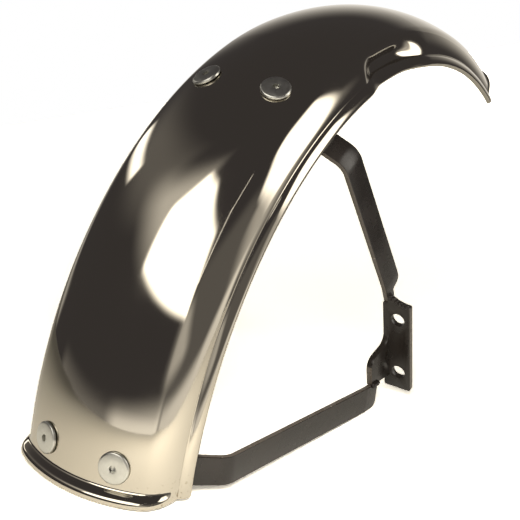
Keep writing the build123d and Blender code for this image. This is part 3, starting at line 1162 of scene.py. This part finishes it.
@dataclass
class Fasteners:
    """Fasteners of one kind, one on every seat."""

    name: str
    node: str
    crisp_angle: float
    layers: tuple[str, ...] = ()
    segments: int = 72

    def make_one(self) -> BMesh:
        """Make one fastener in the frame of its seat."""
        raise NotImplementedError

    def build(self, seats: Sequence[BoltSeat], blade: Blade, plating: Material) -> Object:
        """Make the fasteners as one piece.

        Args:
            seats: Places of the fasteners.
            blade: The blade that they hold.
            plating: Their material.

        Returns:
            The fasteners.
        """
        maker = bmesh.new()
        for layer in self.layers:
            maker.verts.layers.float.new(layer)
        for seat in seats:
            part = self.make_one()
            bmesh.ops.transform(part, matrix=seat.matrix(blade), verts=part.verts)
            append(maker, part)
        nodes = (self.node,)
        return new_piece(maker, self.name, (plating,), nodes, self.crisp_angle)


@dataclass
class DiscBolts(Fasteners):
    """Bolts with wide flat heads, a hexagon socket and a threaded end."""

    name: str = "disc_bolts"
    node: str = "disc_head_bolts"
    crisp_angle: float = 35.0
    layers: tuple[str, ...] = ("turning",)
    head_radius: float = 10.5
    head_height: float = 2.2
    under_chamfer: Pair = (0.25, 0.3)
    edge_radius: float = 1.2
    edge_shares: tuple[Pair, ...] = (
        (0.0, 1.0), (0.12, 0.62), (0.4, 0.3), (0.75, 0.08), (1.15, 0.0)
    )
    dome_rise: float = 0.45
    dome_shares: Pair = (0.62, 0.6)
    socket_width: float = 4.4
    socket_rim: float = 0.68
    socket_lead: float = 0.15
    socket_depth: float = 2.2
    socket_cone: float = 0.5
    socket_point: float = 0.02
    shank_radius: float = 4.0
    shank_point: float = 0.05
    length: float = 13.8
    thread_depth: float = 0.5
    thread_length: float = 1.3
    thread_step: float = 0.3
    thread_rings: int = 4

    def make_one(self) -> BMesh:
        """Turn one bolt: head, socket and shank.

        Returns:
            The bolt, with its axis along Z.
        """
        part = bmesh.new()
        layer = part.verts.layers.float.new(self.layers[0])
        radius, top, edge = self.head_radius, self.head_height, self.edge_radius
        inset, lift = self.under_chamfer
        outline = [(self.shank_radius, 0.0), (radius - inset, 0.0), (radius, lift)]
        outline += [(radius - share * edge, top - drop * edge) for share, drop in self.edge_shares]
        reach_share, rise_share = self.dome_shares
        outline += [
            (radius * reach_share, top + rise_share * self.dome_rise),
            (self.socket_width * self.socket_rim, top + self.dome_rise),
        ]
        points = [
            bmesh.ops.create_vert(part, co=(reach, 0.0, height))["vert"][0]
            for reach, height in outline
        ]
        for pair in zip(points, points[1:]):
            part.edges.new(pair)
        profile = part.verts[:] + part.edges[:]
        spun(part, profile, Vector(), Vector((0.0, 0.0, 1.0)), 360.0, self.segments, merge=True)
        bmesh.ops.remove_doubles(part, verts=part.verts, dist=WELD_DISTANCE)
        self.sink_socket(part)
        self.grow_shank(part)
        bmesh.ops.recalc_face_normals(part, faces=part.faces)
        for vert in part.verts:
            vert[layer] = math.hypot(vert.co.x, vert.co.y)
        return part

    def rim(self, part: BMesh, top: bool) -> list[BMEdge]:
        """Open edges at the socket or at the shank.

        Args:
            part: The bolt.
            top: True for the socket's edges.

        Returns:
            The edges.
        """
        middle = self.head_height / 2.0
        return [
            edge for edge in part.edges
            if edge.is_boundary and (edge.verts[0].co.z > middle) == top
        ]

    def sink_socket(self, part: BMesh) -> None:
        """Draw the hexagon socket down from the head's top.

        Args:
            part: The bolt.
        """
        rim = self.rim(part, True)
        top = self.head_height + self.dome_rise
        depths = (self.socket_lead, self.socket_depth, self.socket_depth + self.socket_cone)
        for depth, share in zip(depths, (1.0, 1.0, self.socket_point)):
            width = self.socket_width * share
            rim = ring_on(part, rim, lambda turn: (hexagon_reach(turn, width), top - depth))

    def grow_shank(self, part: BMesh) -> None:
        """Draw the shank down from the head and close its end.

        Args:
            part: The bolt.
        """
        rim = self.rim(part, False)
        start = self.length - self.thread_length
        crest, root = self.shank_radius, self.shank_radius - self.thread_depth
        rings = [
            (start + self.thread_step * step, (crest, root)[step % 2])
            for step in range(self.thread_rings)
        ]
        for depth, radius in rings + [(self.length, root), (self.length, self.shank_point)]:
            rim = ring_on(part, rim, lambda turn: (radius, -depth))


@dataclass
class HexNuts(Fasteners):
    """Chamfered hexagon nuts on the bolts' ends, under the straps."""

    name: str = "chamfered_nuts"
    node: str = "hex_nuts"
    crisp_angle: float = 25.0
    width: float = 13.0
    height: float = 6.5
    seat: float = 5.8
    bore_radius: float = 4.1
    bore_chamfer: float = 0.5
    chamfer_radius: float = 6.3
    chamfer_slope: float = 0.577

    def corner(self, turn: float) -> Pair:
        """Reach of the hexagon at an angle, and how far the chamfer cuts it back there."""
        reach = hexagon_reach(turn, self.width)
        return reach, (reach - self.chamfer_radius) * self.chamfer_slope

    def make_one(self) -> BMesh:
        """Make one nut, ring by ring.

        Returns:
            The nut, with its axis along Z.
        """
        part = bmesh.new()
        bmesh.ops.create_circle(part, segments=self.segments, radius=self.bore_radius)
        bmesh.ops.translate(part, vec=(0.0, 0.0, -self.seat), verts=part.verts)
        rim = part.edges[:]
        low = self.seat + self.height
        rings: tuple[Callable[[float], Pair], ...] = (
            lambda turn: (self.chamfer_radius, -self.seat),
            lambda turn: (self.corner(turn)[0], -self.seat - self.corner(turn)[1]),
            lambda turn: (self.corner(turn)[0], self.corner(turn)[1] - low),
            lambda turn: (self.chamfer_radius, -low),
            lambda turn: (self.bore_radius + self.bore_chamfer, -low),
            lambda turn: (self.bore_radius, self.bore_chamfer - low),
            lambda turn: (self.bore_radius, -self.seat),
        )
        for ring in rings:
            rim = ring_on(part, rim, ring)
        bmesh.ops.remove_doubles(part, verts=part.verts, dist=WELD_DISTANCE)
        bmesh.ops.recalc_face_normals(part, faces=part.faces)
        return part


@dataclass(frozen=True)
class SoftBox:
    """A lit panel of the room, which the polished metal mirrors.

    Its corners are azimuths and elevations in degrees, clockwise round a convex outline. The
    azimuth is 0 behind the wheel and 90 on its right.
    """

    corners: tuple[Pair, ...]
    softness: float
    strength: float
    colour: str = "#fffaf0"

    def edges(self) -> list[Triple]:
        """Work out the inward distance from each edge.

        Returns:
            Factor of the azimuth, factor of the elevation and constant, for each edge.
        """
        lines = []
        for (left, low), (right, high) in zip(self.corners, self.corners[1:] + self.corners[:1]):
            length = math.hypot(right - left, high - low)
            across, up = (high - low) / length, (left - right) / length
            lines.append((across, up, -(across * left + up * low)))
        return lines


@dataclass(frozen=True)
class FloorLamp:
    """A lamp above the floor, which the metal doesn't mirror: its place and size in metres."""

    name: str
    place: Triple
    size: float
    power: float
    colour: str = "#fff9f1"


@dataclass
class Studio:
    """White paper floor in a dark room, with lit panels, lamps and the camera."""

    floor_corners: tuple[Pair, Pair] = ((-0.8, -0.8), (0.4, 3.4))
    camera_place: Triple = (370.64, -711.80, 371.46)
    camera_forward: Triple = (-0.4979, 0.80361, -0.32610)
    camera_right: Triple = (0.8317, 0.54906, 0.08304)
    lens: float = 68.52
    sensor: float = 36.0
    clip_end: float = 100.0
    room: str = "#464344"
    backdrop: str = "#ffffff"
    fill: float = 0.15
    panels: tuple[SoftBox, ...] = (
        SoftBox(
            ((-38, 50), (-26, 66), (-5, 65.5), (21, 51.5), (22, 26), (6, 28), (-30, 33)), 2.0, 3.0
        ),
        SoftBox(((-64, 42), (-46, 60), (-22, 68), (-22, 36)), 9.0, 0.75),
        SoftBox(((-116, 18), (-100, 38), (-60, 60), (-56, 38), (-90, 22)), 8.0, 0.12),
        SoftBox(((-112, 12), (-112, 17), (-90, 28), (-90, 23)), 1.5, 2.6),
        SoftBox(((21.4, 36), (30.4, 57.5), (32, 57.5), (23, 36)), 0.5, 1.8),
        SoftBox(((30.4, 57), (46, 66.5), (47.5, 66), (32, 57)), 0.5, 1.8),
        SoftBox(
            ((91, 52), (98, 57), (123, 55), (127, 42), (131, 24), (135, 2), (124, 0), (94, 30)),
            3.0,
            2.7,
        ),
        SoftBox(((98, 18), (112, 32), (132, 24), (136, -10), (116, -10)), 7.0, 0.5),
        SoftBox(((22, -30), (24, 42), (60, 44), (92, 36), (130, -2), (130, -30)), 8.0, 0.1),
        SoftBox(((18, 8), (20, 30), (30, 30), (54, 10)), 5.0, 0.5),
        SoftBox(((-66, -25), (-66, -3), (20, 2), (26, 2), (26, -25)), 4.0, 0.22),
        SoftBox(((-16, -30), (-16, -2), (26, 2.5), (26, -30)), 6.0, 1.1),
        SoftBox(((30, -40), (30, 1), (56, 0), (92, -6), (92, -40)), 4.0, 0.9),
        SoftBox(((92, -40), (92, -6), (124, -6), (128, -40)), 4.0, 0.9),
        SoftBox(((-140, -20), (-140, 1), (-100, 1), (-88, 0), (-86, -20)), 3.0, 0.4),
        SoftBox(((-200, -40), (-200, 16), (-140, 16), (-140, -40)), 15.0, 0.85),
        SoftBox(((172, -40), (172, 14), (200, 14), (200, -40)), 13.0, 0.8),
    )
    lamps: tuple[FloorLamp, ...] = (
        FloorLamp("lamp_near", (0.22, -0.39, 0.34), 0.3, 2.6),
        FloorLamp("lamp_behind", (-0.2, 3.0, 1.3), 1.8, 60.0),
    )

    def build(self, paper: Material) -> None:
        """Make the floor, the surroundings, the lamps and the camera.

        Args:
            paper: Material of the floor.
        """
        maker = bmesh.new()
        bmesh.ops.create_grid(maker, x_segments=8, y_segments=8, size=0.5)
        (left, near), (right, far) = self.floor_corners
        bmesh.ops.scale(maker, vec=(right - left, far - near, 1.0), verts=maker.verts)
        middle = ((left + right) / 2.0, (near + far) / 2.0, 0.0)
        bmesh.ops.translate(maker, vec=middle, verts=maker.verts)
        mesh = bpy.data.meshes.new("paper_floor")
        maker.to_mesh(mesh)
        maker.free()
        mesh.materials.append(paper)
        floor = bpy.data.objects.new("paper_floor", mesh)
        bpy.context.scene.collection.objects.link(floor)
        self.surround()
        for lamp in self.lamps:
            self.hang(lamp)
        self.camera()
        settings = bpy.context.scene.view_settings
        settings.view_transform = "Standard"
        settings.look = "None"

    def surround(self) -> None:
        """Make the dark room with its lit panels, which matt surfaces and the camera see white."""
        world = bpy.data.worlds.new("studio")
        bpy.context.scene.world = world
        world.use_nodes = True
        tree = world.node_tree
        room = tree.nodes["Background"]
        place = add_node(tree, "TexCoord", output="Generated")
        x, y, z = add_node(tree, "SeparateXYZ", {0: place}).node.outputs
        back = add_node(tree, "Math", {0: y, 1: -1.0}, operation="MULTIPLY")
        around = add_node(tree, "Math", {0: x, 1: back}, operation="ARCTAN2")
        above = add_node(tree, "Math", {0: z}, operation="ARCSINE")
        azimuth = add_node(tree, "Math", {0: around}, operation="DEGREES")
        elevation = add_node(tree, "Math", {0: above}, operation="DEGREES")
        colour: Any = linear(self.room)
        for panel in self.panels:
            lit: Any = panel.strength
            for across, up, depth in panel.edges():
                for angle, factor in ((elevation, up), (azimuth, across)):
                    inputs = {0: angle, 1: factor, 2: depth}
                    depth = add_node(tree, "Math", inputs, operation="MULTIPLY_ADD")
                inputs = {0: depth, 1: -panel.softness, 2: panel.softness}
                inside = add_node(tree, "MapRange", inputs, interpolation_type="SMOOTHSTEP")
                lit = add_node(tree, "Math", {0: inside, 1: lit}, operation="MULTIPLY")
            inputs = {0: lit, 6: colour, 7: linear(panel.colour)}
            adding = {"data_type": "RGBA", "blend_type": "ADD", "clamp_factor": False}
            colour = add_node(tree, "Mix", inputs, 2, **adding)
        tree.links.new(colour, room.inputs["Color"])
        mixed = room.outputs[0]
        for ray, strength in (("Is Diffuse Ray", self.fill), ("Is Camera Ray", 1.0)):
            inputs = {"Color": linear(self.backdrop), "Strength": strength}
            light = add_node(tree, "Background", inputs)
            share = add_node(tree, "LightPath", output=ray)
            mixed = add_node(tree, "MixShader", {0: share, 1: mixed, 2: light})
        tree.links.new(mixed, tree.nodes["World Output"].inputs["Surface"])

    def hang(self, lamp: FloorLamp) -> None:
        """Hang one lamp, pointing straight down.

        Args:
            lamp: The lamp.
        """
        data = bpy.data.lights.new(lamp.name, "AREA")
        data.shape = "DISK"
        data.size = lamp.size
        data.energy = lamp.power
        data.color = linear(lamp.colour)[:3]
        light = bpy.data.objects.new(lamp.name, data)
        light.matrix_world = Matrix.Translation(lamp.place)
        light.visible_glossy = False
        light.visible_camera = False
        bpy.context.scene.collection.objects.link(light)

    def camera(self) -> None:
        """Place the camera at the photograph's viewing angle."""
        data = bpy.data.cameras.new("camera")
        data.lens = self.lens
        data.sensor_width = self.sensor
        data.clip_end = self.clip_end
        right = Vector(self.camera_right).normalized()
        forward = Vector(self.camera_forward)
        forward = (forward - right * forward.dot(right)).normalized()
        up = right.cross(forward)
        matrix = Matrix((right, up, -forward)).transposed().to_4x4()
        matrix.translation = AXLE + Vector(self.camera_place) * METRES
        camera = bpy.data.objects.new("camera", data)
        camera.matrix_world = matrix
        bpy.context.scene.collection.objects.link(camera)
        bpy.context.scene.camera = camera


def main() -> None:
    """Build every piece in order."""
    logging.basicConfig(level=logging.INFO, format="%(name)s: %(message)s")
    polish = PolishedSteel().material()
    paint = BlackPaint().material()
    plating = ZincPlate().material()
    blade = Blade()
    blade.build(polish, DullSteel().material())
    UpperStrap().build(paint)
    LowerStrap().build(paint)
    for side in Side:
        ForkPlates().build(side, paint)
    seats = [BoltSeat(angle, side) for angle in (LOWER_BOLTS, UPPER_BOLTS) for side in Side]
    DiscBolts().build(seats, blade, plating)
    HexNuts().build(seats, blade, plating)
    WeldBeads().build(paint)
    Studio().build(PalePaper().material())


if __name__ == "__main__":
    main()
